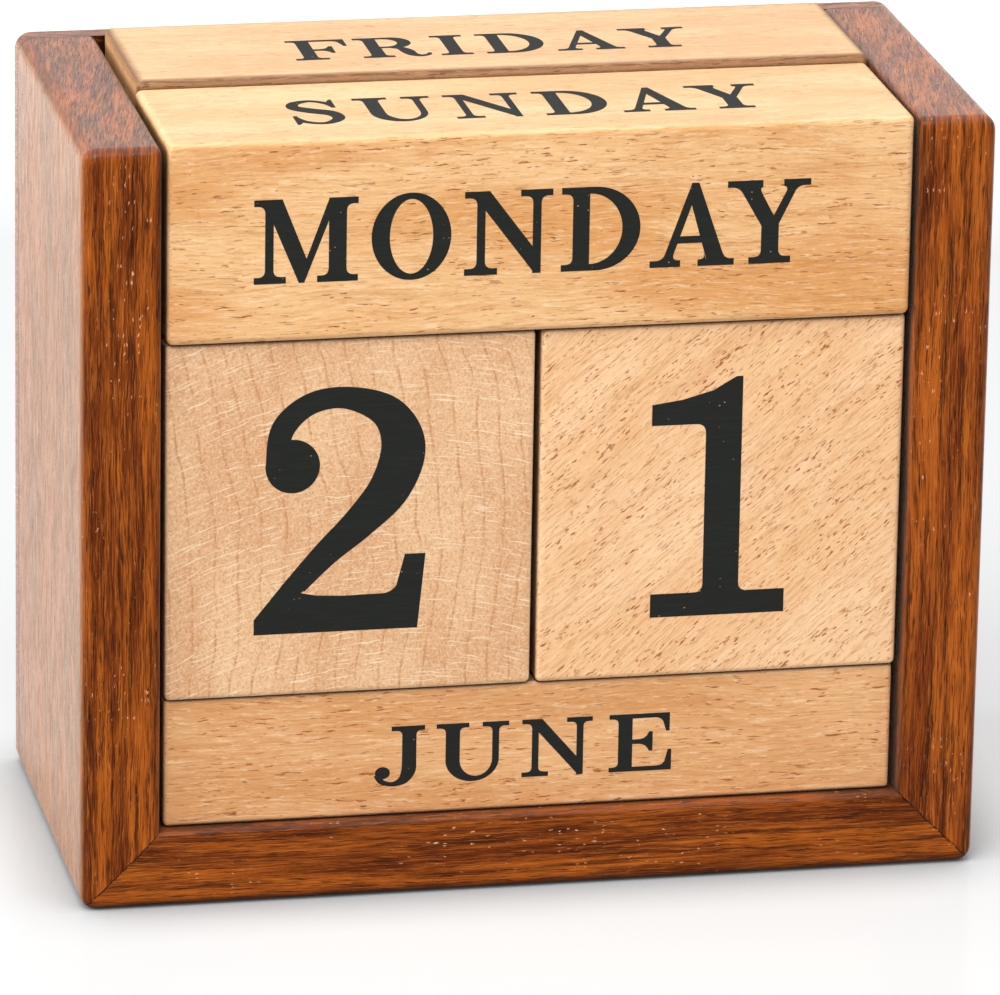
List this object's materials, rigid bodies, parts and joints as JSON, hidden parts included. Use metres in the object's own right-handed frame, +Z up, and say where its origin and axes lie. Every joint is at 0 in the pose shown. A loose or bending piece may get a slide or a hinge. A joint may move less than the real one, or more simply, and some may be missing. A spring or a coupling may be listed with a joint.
{
  "type": "perpetual desk calendar",
  "caption": "Open-fronted mitred wooden box holding loose weekday bars, number cubes and month bars that lift or slide out to set the date.",
  "frame": {"origin": "middle of the underside, on the surface that the calendar stands on", "axes": "+Z up, -Y out of the open front, +X to the right seen from the front"},
  "size_m": [0.127, 0.064, 0.1105],
  "materials": {
    "rosewood": "oiled and polished, dark streaked grain",
    "beech": "fine sanded, clear matt lacquer",
    "spline_wood": "sawn, glued in",
    "pin_steel": "plain bright wire",
    "lettering_paint": "matt charcoal ink, printed on the blocks"
  },
  "bodies": {
    "frame": {"left_side": "rosewood", "right_side": "rosewood", "bottom_board": "rosewood", "back_panel": "rosewood", "mitre_spline_left": "spline_wood", "mitre_spline_right": "spline_wood", "back_panel_pins": "pin_steel"},
    "weekday_bar_front": {"weekday_bar_front": "beech"},
    "weekday_bar_rear": {"weekday_bar_rear": "beech"},
    "number_cube_left": {"number_cube_left": "beech"},
    "number_cube_right": {"number_cube_right": "beech"},
    "month_bar_front": {"month_bar_front": "beech"},
    "month_bar_middle": {"month_bar_middle": "beech"},
    "month_bar_rear": {"month_bar_rear": "beech"}
  },
  "joints": [
    {"name": "weekday_bar_front_lift", "type": "slide", "parent": "frame", "child": "weekday_bar_front", "axis": [0, 0, 1], "range_m": [0, 0.035]},
    {"name": "weekday_bar_rear_lift", "type": "slide", "parent": "frame", "child": "weekday_bar_rear", "axis": [0, 0, 1], "range_m": [0, 0.035]},
    {"name": "number_cube_left_slide", "type": "slide", "parent": "frame", "child": "number_cube_left", "axis": [0, -1, 0], "range_m": [0, 0.058]},
    {"name": "number_cube_right_slide", "type": "slide", "parent": "frame", "child": "number_cube_right", "axis": [0, -1, 0], "range_m": [0, 0.058]},
    {"name": "month_bar_front_slide", "type": "slide", "parent": "frame", "child": "month_bar_front", "axis": [0, -1, 0], "range_m": [0, 0.08]},
    {"name": "month_bar_middle_slide", "type": "slide", "parent": "frame", "child": "month_bar_middle", "axis": [0, -1, 0], "range_m": [0, 0.07]},
    {"name": "month_bar_rear_slide", "type": "slide", "parent": "frame", "child": "month_bar_rear", "axis": [0, -1, 0], "range_m": [0, 0.06]}
  ],
  "couplings": [
    {"joint": "month_bar_middle_slide", "follows": "month_bar_front_slide", "ratio": 0.875},
    {"joint": "month_bar_rear_slide", "follows": "month_bar_front_slide", "ratio": 0.75}
  ]
}
